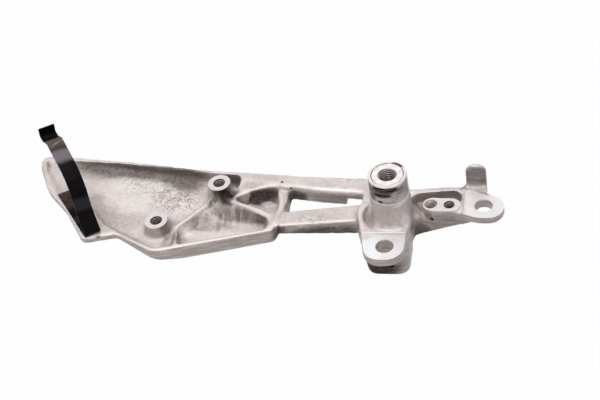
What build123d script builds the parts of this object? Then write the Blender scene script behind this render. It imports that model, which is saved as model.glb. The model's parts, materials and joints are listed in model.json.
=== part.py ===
from build123d import *

import os
from math import cos, radians, sin, tan

os.makedirs("parts", exist_ok=True)

# The frame: Z is the pivot axis, and Z = 0 is the plane of the two machined lug faces that bolt to the
# motorcycle. X runs along the arms, away from the heel plate. Lengths are in millimetres.

# Heel plate: heights over the lug plane
RIM_TOP = -6.3
PLATE_UNDERSIDE = -17.8
BACK_RIM_TOP = -3.0
POCKET_FLOOR = -15.2
RECESS_FLOOR = -11.3
BOSS_TOP = -1.5

# Heel plate: its left half rises, so that the outer face lies flat when the hanger is put down
KNEE_X = -135.0
UNDERSIDE_TILT = 8.7
RECESS_TILT = 7.0
BACK_RIM_TILT = 3.8
TAB_THICKNESS = 4.9
FACET_CREASE = ((-214.0, 36.0), (-168.6, 10.3))
FACET_FALL = 0.12
POCKET_DRAFT = 6.0
BACK_WALL_FILLET = 3.4
PLATE_EDGE_R = 1.2

# Heel plate: tapped bosses
BOSS_L = (-153.6, -4.3)
BOSS_R = (-118.7, 30.9)
BOSS_D = 15.2
BOSS_DRAFT = 4.0
BOSS_HOLE_D = 6.8
HOLE_CHAMFER = 0.6
BOSS_FLOOR = 1.5

# Arms
UPPER_ARM_TOP = -3.0
UPPER_ARM_UNDERSIDE = -15.0
UPPER_ARM_RELIEF = -9.5
RELIEF_X = -33.5
LOWER_ARM_TOP = -6.6
LOWER_ARM_LEFT = -13.9
LOWER_ARM_RIGHT = -18.4
LOWER_ARM_START_X = -80.0

# The flank that falls from the upper arm's top to the rib over the triangular pocket
FLANK_CREASE = ((-108.0, 38.0), (-78.0, 33.0))
FLANK_FOOT = (-105.0, 24.5)
ARM_EDGE_R = 2.2
ARM_CORNER_R = 0.8

# Hub, block and lug A
HUB_UNDERSIDE = -18.4
HUB_LEFT_X = -22.0
LUG_A_THICKNESS = 6.5
LUG_A_HOLE = (-2.2, -27.2)
LUG_B_HOLE = (55.4, 8.0)
LUG_HOLE_D = 10.5
BLOCK_SIZE = (33.0, 34.0)
BLOCK_CENTRE = (-4.6, -3.4)
BLOCK_CORNER_R = 10.0
BLOCK_DRAFT = 5.0
BLOCK_BOTTOM = -37.0
BLOCK_EDGE_R = 2.5
SCOOP_CENTRE = (-4.2, 0.8)
SCOOP_R = 14.9
SCOOP_DEPTH = 5.0
SCOOP_TAPER = 30.0

# Pivot boss and its steel insert
PIVOT_TOP = 34.0
TURNED_D = 23.8
TURNED_HEIGHT = 14.5
CAST_BOSS_D = 25.2
CAST_BOSS_WAIST_D = 25.6
WAIST_Z = 5.0
SHOULDER_STEP = 1.0
SHOULDER_LIP = 0.4
FLARE_D = 34.4
FLARE_Z = -3.6
FLARE_R = 10.6
FLARE_FOOT_D = 41.0
INSERT_D = 19.4
INSERT_LENGTH = 20.0
PIVOT_THREAD_D = 10.6
PIVOT_BORE_D = 12.5

# Right arm, lug B and the hook
LUG_B_THICKNESS = 5.3
RIGHT_ARM_DEPTH = 18.0
RIGHT_ARM_ROOT_X = 18.0
LUG_B_NECK_X = 43.0
LUG_B_FLAT_X = 49.4
LUG_B_NECK_DEPTH = 9.6
ARM_POCKET_FLOOR = -8.0
TWIN_BOSS_TOP = 1.3
TWIN_BOSS_CENTRE = (29.6, 7.7)
TWIN_BOSS_SIZE = (23.4, 11.6)
TWIN_BOSS_ANGLE = -2.0
TWIN_HOLE_L = (23.0, 8.2)
TWIN_HOLE_R = (34.4, 7.6)
TWIN_HOLE_DEPTH = 11.0
SCREW_HOLE_D = 5.1
WIRE_INSERT_D = 7.4
WIRE_INSERT_BORE = 6.0
WIRE_INSERT_LENGTH = 9.0
WIRE_INSERT_RECESS = 0.6
INSERT_CLEARANCE = 0.02
HOOK_X = (43.8, 56.8)
HOOK_FRONT_Y = 24.7
HOOK_THICKNESS = 3.2
HOOK_TOP = 17.3
HOOK_CORNER_R = 5.5
HOOK_FOOT_TOP = 0.9
HOOK_EDGE_R = 0.8

# Spring strap: its fold lies at a corner of the heel plate, and its lower leg points this way from the X axis
STRAP_WIDTH = 10.9
STRAP_THICKNESS = 1.0
STRAP_FOLD = (-193.1, -16.9)
STRAP_DIRECTION = 129.0
LOWER_LEG_LENGTH = 47.5
# Each stretch of the upper leg from the fold to the end tab: its length and its slope from the lower leg
UPPER_LEG = [
    (18.4, 47.2), (13.9, 68.0), (8.1, 47.5), (7.2, 33.7), (23.0, 16.7), (9.0, -27.7), (4.4, 8.0), (6.0, 84.0),
]
STRAP_BENDS = [1.6, 12.0, 15.0, 15.0, 15.0, 2.0, 2.0, 1.2]

# Rivet through the lower leg
RIVET_S = 14.0
RIVET_SHANK_D = 3.2
RIVET_HEAD_D = 6.0
RIVET_HEAD_HEIGHT = 1.3
RIVET_DOME_R = 1.0
RIVET_DEPTH = 2.6


def rounded_outline(sketch, corners):
    """Fill a closed outline in a sketch, given as corners of x, y and rounding radius."""
    with BuildLine() as path:
        Polyline(*[(x, y) for x, y, radius in corners], close=True)
    make_face(path.edges())
    for x, y, radius in corners:
        if radius > 0:
            fillet(sketch.vertices().sort_by_distance((x, y))[0], radius)


def side_profile(corners):
    """Fill a closed outline of x and z corners in a sketch that stands in the XZ plane."""
    with BuildLine() as path:
        Polyline(*corners, close=True)
    make_face(path.edges())


def tilted_plane(height, tilt):
    """A plane that is at this height over the knee of the heel plate, and rises to the left."""
    angle = radians(tilt)
    return Plane(origin=(KNEE_X, 0, height), x_dir=(cos(angle), 0, -sin(angle)), z_dir=(sin(angle), 0, cos(angle)))


def height_on(plane, x, y):
    """The Z of a plane over a point of the plan."""
    normal = plane.z_dir
    return plane.origin.Z - ((x - plane.origin.X) * normal.X + (y - plane.origin.Y) * normal.Y) / normal.Z


def on_outer_face(point):
    """Whether a point lies on the rim of the heel plate's outer face, away from the knee's own line."""
    flat = abs(point.Z - PLATE_UNDERSIDE) < 0.01 and point.X > KNEE_X + 1
    tilted = abs(point.Z - height_on(tilted_plane(PLATE_UNDERSIDE, UNDERSIDE_TILT), point.X, point.Y)) < 0.05
    return flat or (tilted and point.X < KNEE_X - 1)


# How far tools and blanks reach past the casting
TOOL_HEIGHT = 40.0
ARMS_START_X = -60.0
PLATE_END_X = -260.0
RIGHT_END_X = 80.0

# Planes of the heel plate: the tab's top, the recess floor, and the facet, which shares its crease with the floor
tab_top = tilted_plane(PLATE_UNDERSIDE + TAB_THICKNESS, UNDERSIDE_TILT)
recess_floor = tilted_plane(RECESS_FLOOR, RECESS_TILT)
crease = [Vector(x, y, height_on(recess_floor, x, y)) for x, y in FACET_CREASE]
along_crease = (crease[1] - crease[0]).normalized()
down_facet = Vector(along_crease.Y, -along_crease.X, 0)
facet_foot = crease[0] + down_facet
facet_foot.Z = height_on(recess_floor, facet_foot.X, facet_foot.Y) - FACET_FALL
facet_plane = Plane(origin=crease[0], z_dir=(facet_foot - crease[0]).cross(along_crease))
flank_left = Vector(*FLANK_CREASE[0], UPPER_ARM_TOP)
flank_right = Vector(*FLANK_CREASE[1], UPPER_ARM_TOP)
flank_plane = Plane(
    origin=flank_left, z_dir=(Vector(*FLANK_FOOT, RIM_TOP) - flank_left).cross(flank_right - flank_left)
)

# The strap is drawn edge-on: X runs along its lower leg, which lies on the tab, and Y stands off the tab
leg = radians(STRAP_DIRECTION)
fold = Vector(*STRAP_FOLD, height_on(tab_top, *STRAP_FOLD))
tip = Vector(fold.X + cos(leg), fold.Y + sin(leg), height_on(tab_top, fold.X + cos(leg), fold.Y + sin(leg)))
strap_plane = Plane(origin=fold, x_dir=tip - fold, z_dir=(tip - fold).cross(tab_top.z_dir))
rivet_point = strap_plane.from_local_coords(Vector(RIVET_S, STRAP_THICKNESS, 0))
rivet_seat = Plane(origin=rivet_point, x_dir=strap_plane.x_dir, z_dir=tab_top.z_dir)


# Plan outlines of the casting, each corner with its rounding radius
HEEL_OUTLINE = [
    (-76.5, -7.8, 4), (-71.0, 16, 45), (-72.5, 40.0, 0), (-121, 44.4, 60), (-185, 50.4, 90), (-248.9, 53.2, 6),
    (-246.6, 42, 12), (-235, 19.6, 40), (-217.6, 3.0, 8), (-200.4, -20.8, 4.5), (-180.2, -12.4, 4),
    (-151.6, -27.8, 14),
]
# In front of the back rim and of the upper arm
RIM_STEP_OUTLINE = [
    (-107, 40.2, 0), (-149, 45.0, 0), (-190, 48.1, 0), (-222, 48.9, 0), (-270, 48.9, 0), (-270, -40, 0), (-60, -40, 0),
    (-60, 25, 0), (-76, 29, 4), (-84, 29.6, 4), (-104.5, 22.6, 4),
]
RECESS_OUTLINE = [
    (-105.0, 39.6, 3.8), (-149, 45.0, 60), (-190, 48.0, 60), (-243.6, 48.7, 5), (-241.4, 38.5, 8), (-224, 14, 8),
    (-203, 10, 8), (-190.5, -4, 14), (-152.5, -24, 10), (-139.5, -21, 2), (-139.5, 0, 0), (-119, 22, 0),
    (-118.7, 30.9, 0), (-106.0, 31.2, 3.8),
]
# The facet reaches from its crease to the lower rim
FACET_OUTLINE = [
    (-214, 40, 0), (-224, 14, 8), (-203, 10, 8), (-190.5, -4, 14), (-152.5, -24, 10), (-146, -22.6, 0), (-148, 4, 0),
    (-168.6, 14, 0),
]
# The lower pocket at its floor and at the level of the rim: steep along the rim, sloping below the ribs
POCKET_FOOT = [
    (-136, -18, 0), (-84.5, -4.8, 0), (-83.5, -0.5, 0), (-86, 3.5, 0), (-105.5, 6, 0), (-119, 9, 0), (-140, -8, 0),
]
POCKET_MOUTH = [
    (-138, -20.4, 0), (-82, -6.8, 0), (-80, -1, 0), (-82, 3.8, 0), (-106, 17.5, 0), (-128.5, 28, 0), (-143.3, 1.6, 0),
]
TRIANGLE_OUTLINE = [
    (-106.5, 22.0, 1.8), (-103, 17.4, 1.8), (-79.6, 8.3, 3.5), (-75.8, 14, 10), (-76.6, 28.6, 3), (-84, 30.6, 3),
]
FLANK_OUTLINE = [
    (-108, 38, 0), (-78, 33, 0), (-76, 28.6, 0), (-84, 29, 0), (-104.5, 22.4, 0), (-108, 24, 0),
]
UPPER_ARM_OUTLINE = [
    (-96, 40.7, 0), (-96, 27, 0), (-84, 29.6, 4), (-74, 29.2, 6), (-50, 25.2, 30), (-18, 22.0, 0), (-18, 36.4, 0),
    (-50, 38.1, 0),
]
LOWER_ARM_OUTLINE = [
    (-77, -4.2, 0), (-16.8, 1.5, 0), (-16.8, 17.1, 0), (-77, 8.7, 0),
]
HUB_OUTLINE = [
    (-21.6, 4, 0), (-18.6, -14, 0), (9, -14, 0), (11, -4, 0), (6, 3, 0), (6, 19.5, 0), (12.5, 19.5, 0),
    (12.5, 23.2, 0), (8.5, 23.4, 8), (-6, 35.5, 14), (-21.6, 36.5, 0),
]
LUG_A_OUTLINE = [
    (-21.4, 11.2, 3), (-23.2, 2.5, 9), (-18.8, -14, 30), (-13.9, -38.7, 11.2), (9.4, -38.7, 11.2), (10.2, -15, 14),
    (12.6, -4, 0), (12.6, 5, 0),
]
RIGHT_ARM_OUTLINE = [
    (4, 1.4, 0), (42, 1.2, 20), (52, -3.0, 16), (68.4, -2.8, 9.5), (67.8, 13, 8.5), (45, 24.9, 9), (30, 24.9, 20),
    (4, 22.6, 0),
]
ARM_ROOT_OUTLINE = [
    (6, -18, 0), (8.8, -16, 0), (11.0, -1.4, 4), (18, 1.3, 0), (18, 6, 0), (6, 6, 0),
]
ARM_POCKET_OUTLINE = [
    (6, -6, 0), (24, -6, 0), (24, 3, 0), (41.2, 3, 0), (41.2, 18.2, 3), (37.4, 21.4, 3), (14.0, 19.0, 5),
    (6, 11, 0),
]
# The flare round the foot of the pivot boss stays inside lug A, the hub and the arm's pocket
FLARE_OUTLINE = [
    (-21, -14.5, 0), (8.8, -14.5, 0), (10.4, -4, 0), (11.2, 1.5, 0), (30, 1.5, 0), (30, 22, 0), (-21, 22, 0),
]
HOOK_FOOT_OUTLINE = [
    (41.6, 24.4, 0), (56.8, 18.6, 0), (56.8, 27.9, 2), (43.8, 27.9, 2),
]

# Heel plate blank: its outline, its sloping outer face and the long rim along its back
with BuildPart() as heel_plate:
    with BuildSketch(Plane.XY.offset(PLATE_UNDERSIDE)) as heel_sketch:
        rounded_outline(heel_sketch, HEEL_OUTLINE)
    extrude(amount=TOOL_HEIGHT)
    split(bisect_by=tilted_plane(PLATE_UNDERSIDE, UNDERSIDE_TILT), keep=Keep.TOP)
    with BuildSketch(Plane.XZ):
        side_profile([
            (ARMS_START_X, PLATE_UNDERSIDE), (ARMS_START_X, BACK_RIM_TOP), (KNEE_X, BACK_RIM_TOP),
            (PLATE_END_X, BACK_RIM_TOP + (KNEE_X - PLATE_END_X) * tan(radians(BACK_RIM_TILT))),
            (PLATE_END_X, PLATE_UNDERSIDE),
        ])
    extrude(amount=TOOL_HEIGHT * 2, both=True, mode=Mode.INTERSECT)
    fillet(heel_plate.edges().filter_by(lambda edge: on_outer_face(edge.center())), PLATE_EDGE_R)

# The step down from the back rim to the lower and left rims, which slope up over the knee
with BuildPart() as rim_step:
    with BuildSketch(Plane.XY.offset(RIM_TOP)) as rim_step_sketch:
        rounded_outline(rim_step_sketch, RIM_STEP_OUTLINE)
    extrude(amount=TOOL_HEIGHT)
    split(bisect_by=tilted_plane(PLATE_UNDERSIDE + TAB_THICKNESS, UNDERSIDE_TILT), keep=Keep.TOP)

# The recess inside the rims: its upper floor, and the facet that falls from it towards the lower rim
with BuildPart() as recess:
    with BuildSketch(Plane.XY.offset(PLATE_UNDERSIDE)) as recess_sketch:
        rounded_outline(recess_sketch, RECESS_OUTLINE)
    extrude(amount=TOOL_HEIGHT)
    split(bisect_by=tilted_plane(RECESS_FLOOR, RECESS_TILT), keep=Keep.TOP)
    fillet(recess.faces().sort_by(Axis.Z)[0].edges().sort_by(Axis.Y)[-3:], BACK_WALL_FILLET)

with BuildPart() as facet:
    with BuildSketch(Plane.XY.offset(PLATE_UNDERSIDE)) as facet_sketch:
        rounded_outline(facet_sketch, FACET_OUTLINE)
    extrude(amount=TOOL_HEIGHT)
    split(bisect_by=facet_plane, keep=Keep.TOP)

# The flank's cut: it leaves the crease on the upper arm's top and reaches the rim's level at its foot
with BuildPart() as flank:
    with BuildSketch(Plane.XY.offset(PLATE_UNDERSIDE)) as flank_sketch:
        rounded_outline(flank_sketch, FLANK_OUTLINE)
    extrude(amount=TOOL_HEIGHT)
    split(bisect_by=flank_plane, keep=Keep.TOP)

# The lower pocket, and the triangular pocket between the upper arm and the second rib
with BuildPart() as pockets:
    with BuildSketch(Plane.XY.offset(POCKET_FLOOR)) as pocket_foot:
        rounded_outline(pocket_foot, POCKET_FOOT)
    with BuildSketch(Plane.XY.offset(RIM_TOP)) as pocket_mouth:
        rounded_outline(pocket_mouth, POCKET_MOUTH)
    loft(ruled=True)
    with BuildSketch(Plane.XY.offset(POCKET_FLOOR)) as triangle_sketch:
        rounded_outline(triangle_sketch, TRIANGLE_OUTLINE)
    extrude(amount=TOOL_HEIGHT, taper=-POCKET_DRAFT)

# The two tapped bosses, down to the skin of the heel plate
with BuildPart() as bosses:
    for centre in (BOSS_L, BOSS_R):
        with BuildSketch(Plane.XY.offset(BOSS_TOP)):
            with Locations(centre):
                Circle(BOSS_D / 2)
        extrude(amount=BOSS_TOP - PLATE_UNDERSIDE - BOSS_FLOOR, dir=(0, 0, -1), taper=-BOSS_DRAFT)
    split(bisect_by=tilted_plane(PLATE_UNDERSIDE + BOSS_FLOOR, UNDERSIDE_TILT), keep=Keep.TOP)

# Upper arm, with the relief under its right end
with BuildPart() as upper_arm:
    with BuildSketch(Plane.XY.offset(UPPER_ARM_UNDERSIDE)) as upper_arm_sketch:
        rounded_outline(upper_arm_sketch, UPPER_ARM_OUTLINE)
    extrude(amount=UPPER_ARM_TOP - UPPER_ARM_UNDERSIDE)
    arm_top = upper_arm.faces().sort_by(Axis.Z)[-1].edges()
    fillet(arm_top.filter_by(lambda edge: edge.center().Y < 30 and edge.center().X > -76), ARM_EDGE_R)
    with BuildSketch(Plane.XY.offset(UPPER_ARM_UNDERSIDE)):
        with Locations((RELIEF_X, 0)):
            Rectangle(TOOL_HEIGHT, TOOL_HEIGHT * 3, align=(Align.MIN, Align.CENTER))
    extrude(amount=UPPER_ARM_RELIEF - UPPER_ARM_UNDERSIDE, mode=Mode.SUBTRACT)

# Lower arm, which deepens towards the hub
with BuildPart() as lower_arm:
    with BuildSketch(Plane.XY.offset(HUB_UNDERSIDE)) as lower_arm_sketch:
        rounded_outline(lower_arm_sketch, LOWER_ARM_OUTLINE)
    extrude(amount=LOWER_ARM_TOP - HUB_UNDERSIDE)
    with BuildSketch(Plane.XZ):
        side_profile([
            (LOWER_ARM_START_X, LOWER_ARM_TOP), (LOWER_ARM_START_X, LOWER_ARM_LEFT), (HUB_LEFT_X, LOWER_ARM_RIGHT),
            (0, LOWER_ARM_RIGHT), (0, LOWER_ARM_TOP),
        ])
    extrude(amount=TOOL_HEIGHT, both=True, mode=Mode.INTERSECT)
    fillet(lower_arm.edges().filter_by(lambda edge: edge.length > 30), ARM_CORNER_R)

# Hub with lug A, the block under it and the scoop round the foot of the pivot boss
with BuildPart() as hub:
    with BuildSketch(Plane.XY.offset(HUB_UNDERSIDE)) as hub_sketch:
        rounded_outline(hub_sketch, HUB_OUTLINE)
    extrude(amount=UPPER_ARM_TOP - HUB_UNDERSIDE)
    with BuildSketch(Plane.XY) as lug_a_sketch:
        rounded_outline(lug_a_sketch, LUG_A_OUTLINE)
    extrude(amount=-LUG_A_THICKNESS)
    with BuildSketch(Plane.XY.offset(UPPER_ARM_TOP)):
        with Locations(BLOCK_CENTRE):
            RectangleRounded(*BLOCK_SIZE, BLOCK_CORNER_R)
    extrude(amount=UPPER_ARM_TOP - BLOCK_BOTTOM, dir=(0, 0, -1), taper=BLOCK_DRAFT)
    fillet(hub.faces().sort_by(Axis.Z)[0].edges(), BLOCK_EDGE_R)
    with BuildSketch(Plane.XY):
        with Locations(SCOOP_CENTRE):
            Circle(SCOOP_R)
    extrude(amount=SCOOP_DEPTH, dir=(0, 0, -1), taper=SCOOP_TAPER, mode=Mode.SUBTRACT)

# Pivot boss: a cast cone with a turned top, which flares out where it meets the hub
with BuildPart() as pivot_boss:
    with BuildSketch(Plane.XZ):
        shoulder_z = PIVOT_TOP - TURNED_HEIGHT
        side_profile([
            (CAST_BOSS_WAIST_D / 2, WAIST_Z), (CAST_BOSS_D / 2, shoulder_z - SHOULDER_STEP),
            (TURNED_D / 2 + SHOULDER_LIP, shoulder_z), (TURNED_D / 2, shoulder_z), (TURNED_D / 2, PIVOT_TOP),
            (0, PIVOT_TOP), (0, HUB_UNDERSIDE), (CAST_BOSS_WAIST_D / 2, HUB_UNDERSIDE),
        ])
    revolve(axis=Axis.Z)
    chamfer(pivot_boss.edges().group_by(Axis.Z)[-1], HOLE_CHAMFER)

with BuildPart() as boss_flare:
    with BuildSketch(Plane.XZ):
        with BuildLine():
            Polyline(
                (FLARE_D / 2, FLARE_Z), (FLARE_FOOT_D / 2, ARM_POCKET_FLOOR), (0, ARM_POCKET_FLOOR), (0, WAIST_Z),
                (CAST_BOSS_WAIST_D / 2, WAIST_Z),
            )
            RadiusArc((FLARE_D / 2, FLARE_Z), (CAST_BOSS_WAIST_D / 2, WAIST_Z), FLARE_R)
        make_face()
    revolve(axis=Axis.Z)
    with BuildSketch(Plane.XY.offset(ARM_POCKET_FLOOR)) as flare_sketch:
        rounded_outline(flare_sketch, FLARE_OUTLINE)
    extrude(amount=TOOL_HEIGHT, mode=Mode.INTERSECT)

# Right arm with its pocket and the twin-hole boss, ending in lug B
with BuildPart() as right_arm:
    with BuildSketch(Plane.XY) as right_arm_sketch:
        rounded_outline(right_arm_sketch, RIGHT_ARM_OUTLINE)
    extrude(amount=-RIGHT_ARM_DEPTH)
    with BuildSketch(Plane.XZ):
        side_profile([
            (0, 0), (0, -RIGHT_ARM_DEPTH), (RIGHT_ARM_ROOT_X, -RIGHT_ARM_DEPTH), (LUG_B_NECK_X, -LUG_B_NECK_DEPTH),
            (LUG_B_FLAT_X, -LUG_B_THICKNESS), (RIGHT_END_X, -LUG_B_THICKNESS), (RIGHT_END_X, 0),
        ])
    extrude(amount=TOOL_HEIGHT, both=True, mode=Mode.INTERSECT)
    with BuildSketch(Plane.XY) as arm_pocket_sketch:
        rounded_outline(arm_pocket_sketch, ARM_POCKET_OUTLINE)
    extrude(amount=ARM_POCKET_FLOOR, mode=Mode.SUBTRACT)
    with BuildSketch(Plane.XY.offset(ARM_POCKET_FLOOR)) as root_sketch:
        rounded_outline(root_sketch, ARM_ROOT_OUTLINE)
    extrude(amount=-RIGHT_ARM_DEPTH - ARM_POCKET_FLOOR)
    with BuildSketch(Plane.XY.offset(TWIN_BOSS_TOP)):
        with Locations(TWIN_BOSS_CENTRE):
            SlotOverall(TWIN_BOSS_SIZE[0], TWIN_BOSS_SIZE[1], rotation=TWIN_BOSS_ANGLE)
    extrude(until=Until.NEXT, dir=(0, 0, -1))

# Hook: an upright tab on a foot behind lug B
with BuildPart() as hook:
    with BuildSketch(Plane.XY.offset(-LUG_B_THICKNESS)) as foot_sketch:
        rounded_outline(foot_sketch, HOOK_FOOT_OUTLINE)
    extrude(amount=HOOK_FOOT_TOP + LUG_B_THICKNESS)
    with BuildSketch(Plane.XZ.offset(-HOOK_FRONT_Y)) as tab_sketch:
        side_profile([
            (HOOK_X[0], 0), (HOOK_X[1], 0), (HOOK_X[1], HOOK_TOP), (HOOK_X[0], HOOK_TOP),
        ])
        fillet(tab_sketch.vertices().group_by(Axis.Y)[-1], HOOK_CORNER_R)
    extrude(amount=-HOOK_THICKNESS)
    fillet(hook.edges().filter_by(lambda edge: edge.center().Z > HOOK_TOP - HOOK_CORNER_R), HOOK_EDGE_R)

# The casting, in one piece
with BuildPart() as hanger:
    add(heel_plate.part)
    add(rim_step.part, mode=Mode.SUBTRACT)
    add(recess.part, mode=Mode.SUBTRACT)
    add(facet.part, mode=Mode.SUBTRACT)
    add(pockets.part, mode=Mode.SUBTRACT)
    add(bosses.part)
    add(upper_arm.part)
    add(flank.part, mode=Mode.SUBTRACT)
    add(lower_arm.part)
    add(hub.part)
    add(right_arm.part)
    add(boss_flare.part)
    add(pivot_boss.part)
    add(hook.part)
    with Locations((*BOSS_L, BOSS_TOP), (*BOSS_R, BOSS_TOP)):
        Hole(BOSS_HOLE_D / 2)
    rims = hanger.edges().filter_by(GeomType.CIRCLE).filter_by(lambda edge: abs(edge.radius - BOSS_HOLE_D / 2) < 0.01)
    chamfer(rims.filter_by(lambda edge: edge.center().Z > BOSS_TOP - 0.01), HOLE_CHAMFER)
    with Locations((*LUG_A_HOLE, 0), (*LUG_B_HOLE, 0)):
        Hole(LUG_HOLE_D / 2, depth=LUG_A_THICKNESS)
    with Locations((0, 0, PIVOT_TOP)):
        Hole(PIVOT_BORE_D / 2)
        Hole(INSERT_D / 2 + INSERT_CLEARANCE, depth=INSERT_LENGTH)
    with Locations((*TWIN_HOLE_L, TWIN_BOSS_TOP)):
        Hole(WIRE_INSERT_D / 2 + INSERT_CLEARANCE, depth=WIRE_INSERT_RECESS + WIRE_INSERT_LENGTH)
    with Locations((*TWIN_HOLE_R, TWIN_BOSS_TOP)):
        Hole(SCREW_HOLE_D / 2, depth=TWIN_HOLE_DEPTH)
    with Locations(rivet_seat):
        Hole(RIVET_SHANK_D / 2 + INSERT_CLEARANCE, depth=STRAP_THICKNESS + RIVET_DEPTH)

hanger.part.label = "hanger"
export_step(hanger.part, "parts/hanger.step")

# Steel threaded insert in the pivot boss
with BuildPart() as pivot_insert:
    with BuildSketch(Plane.XY.offset(PIVOT_TOP)):
        Circle(INSERT_D / 2)
        Circle(PIVOT_THREAD_D / 2, mode=Mode.SUBTRACT)
    extrude(amount=-INSERT_LENGTH)
    chamfer(pivot_insert.edges().group_by(Axis.Z)[-1], HOLE_CHAMFER)

pivot_insert.part.label = "pivot_insert"
export_step(pivot_insert.part, "parts/pivot_insert.step")

# Wire thread insert in the left hole of the twin-hole boss
with BuildPart() as wire_thread_insert:
    with BuildSketch(Plane.XY.offset(TWIN_BOSS_TOP - WIRE_INSERT_RECESS)):
        with Locations(TWIN_HOLE_L):
            Circle(WIRE_INSERT_D / 2)
            Circle(WIRE_INSERT_BORE / 2, mode=Mode.SUBTRACT)
    extrude(amount=-WIRE_INSERT_LENGTH)

wire_thread_insert.part.label = "wire_thread_insert"
export_step(wire_thread_insert.part, "parts/wire_thread_insert.step")

# Spring strap: one strip, folded at the corner of the heel plate, drawn edge-on and extruded to its width
strap_path = [(LOWER_LEG_LENGTH, STRAP_THICKNESS / 2), (0, STRAP_THICKNESS / 2)]
for length, slope in UPPER_LEG:
    x, y = strap_path[-1]
    strap_path.append((x + length * cos(radians(slope)), y + length * sin(radians(slope))))

with BuildPart() as spring_strap:
    with BuildSketch(strap_plane):
        with BuildLine() as strap_line:
            FilletPolyline(*strap_path, radius=STRAP_BENDS)
        trace(strap_line.edges(), line_width=STRAP_THICKNESS)
    extrude(amount=STRAP_WIDTH / 2, both=True)
    with Locations(rivet_seat):
        Hole(RIVET_SHANK_D / 2 + INSERT_CLEARANCE, depth=STRAP_THICKNESS)

spring_strap.part.label = "spring_strap"
export_step(spring_strap.part, "parts/spring_strap.step")

# Rivet that holds the lower leg of the strap to the heel plate
with BuildPart() as strap_rivet:
    with BuildSketch(rivet_seat):
        Circle(RIVET_HEAD_D / 2)
    extrude(amount=RIVET_HEAD_HEIGHT)
    fillet(strap_rivet.edges().sort_by(Axis(rivet_seat.origin, rivet_seat.z_dir))[-1], RIVET_DOME_R)
    with BuildSketch(rivet_seat):
        Circle(RIVET_SHANK_D / 2)
    extrude(amount=-STRAP_THICKNESS - RIVET_DEPTH)

strap_rivet.part.label = "strap_rivet"
export_step(strap_rivet.part, "parts/strap_rivet.step")
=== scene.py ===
import json
from math import ceil, cos, pi, radians, sin

import bmesh
import bpy
import numpy as np
from mathutils import Matrix, Vector
from mathutils.kdtree import KDTree


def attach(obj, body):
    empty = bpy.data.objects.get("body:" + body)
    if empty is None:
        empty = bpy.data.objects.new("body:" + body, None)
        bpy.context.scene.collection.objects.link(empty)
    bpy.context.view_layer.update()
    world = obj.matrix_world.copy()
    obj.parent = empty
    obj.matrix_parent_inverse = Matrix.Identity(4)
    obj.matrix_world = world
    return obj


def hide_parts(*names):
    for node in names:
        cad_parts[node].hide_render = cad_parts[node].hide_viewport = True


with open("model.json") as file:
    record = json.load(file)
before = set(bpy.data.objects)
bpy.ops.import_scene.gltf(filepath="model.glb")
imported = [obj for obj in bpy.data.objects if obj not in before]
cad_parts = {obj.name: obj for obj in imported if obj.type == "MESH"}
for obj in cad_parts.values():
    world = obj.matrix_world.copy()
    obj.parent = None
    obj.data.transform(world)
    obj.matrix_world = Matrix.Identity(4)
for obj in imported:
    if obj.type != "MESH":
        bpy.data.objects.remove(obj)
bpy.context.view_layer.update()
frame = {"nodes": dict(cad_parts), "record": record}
nodes = frame["nodes"]
mounts = {mount["name"]: mount for mount in frame["record"]["mounts"]}

MM = 0.001

# The photograph's camera, in the row frame: where it stands, its own axes, its lens and its sensor's width
CAMERA_PLACE = Vector((0.11243, -0.54678, 0.54043))
CAMERA_RIGHT = Vector((0.97605, 0.15634, -0.15126))
CAMERA_UP = Vector((0.00023, 0.69460, 0.71940))
CAMERA_BACK = Vector((0.21753, -0.70221, 0.67793))
CAMERA_LENS = 75.0
CAMERA_SENSOR = 36.0
CAMERA_NEAREST = 0.01

# The table that the hanger lies on: it touches the block under lug A and the heel plate's outer face
TABLE_UP = Vector((0.149, 0.024, 0.9885)).normalized()
FLOOR_REACH = 4.0
FLOOR_GAP = 0.2 * MM
FLOOR_WHITENESS = 0.98

# Plain soft light all round, and one wide lamp overhead
WORLD_LIGHT = 0.20
OVERHEAD_POWER = 9.8
OVERHEAD_SIZE = (1.5, 1.0)
OVERHEAD_PLACE = Vector((-0.12, -0.02, 1.1))
OVERHEAD_AIM = Vector((-0.09, 0.0, 0.0))

# The casting's skin: the size of its facets, how far machined faces stand proud and the plugs of holes reach
# into the walls before both are cut, and how often its corners are filled and then rounded
SKIN_FACET = 0.85 * MM
PROUD = 1.1 * MM
HOLE_MARGIN = 1.2 * MM
CORNER_FILLS = 10
SKIN_ROUNDS = 4
SMOOTHING = 0.6

# Marks on the skin: how far the shape is blurred to find them, and the depth that counts in full
MARK_BLUR = 50
FULL_MARK = 0.8 * MM

# How level a face is, and how near to its height, to count as machined: on the solid, and once it is cut
LEVEL = 0.999
AT_HEIGHT = 0.01 * MM
CUT_LEVEL = 0.9999
CUT_AT_HEIGHT = 0.001 * MM

# Points nearer to each other than this are one
MERGE = 0.001 * MM

# Edges that turn by more than this are crisp, or on the strap bevelled
CRISP = radians(32)
CRISP_THREAD = radians(60)
CRISP_STRAP = radians(40)

# Small edges and clearances
COUNTERSINK = 0.4 * MM
SEAM = 0.25 * MM
EDGE_BREAK = 0.6 * MM
STRAP_EDGE = 0.15 * MM
INSERT_CLEARANCE = 0.02 * MM

# Facets round a turned part and round the collar, and how much smaller a rib's ends are
TURNED_FACETS = 64
COLLAR_FACETS = 96
RIB_END = 0.6

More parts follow.
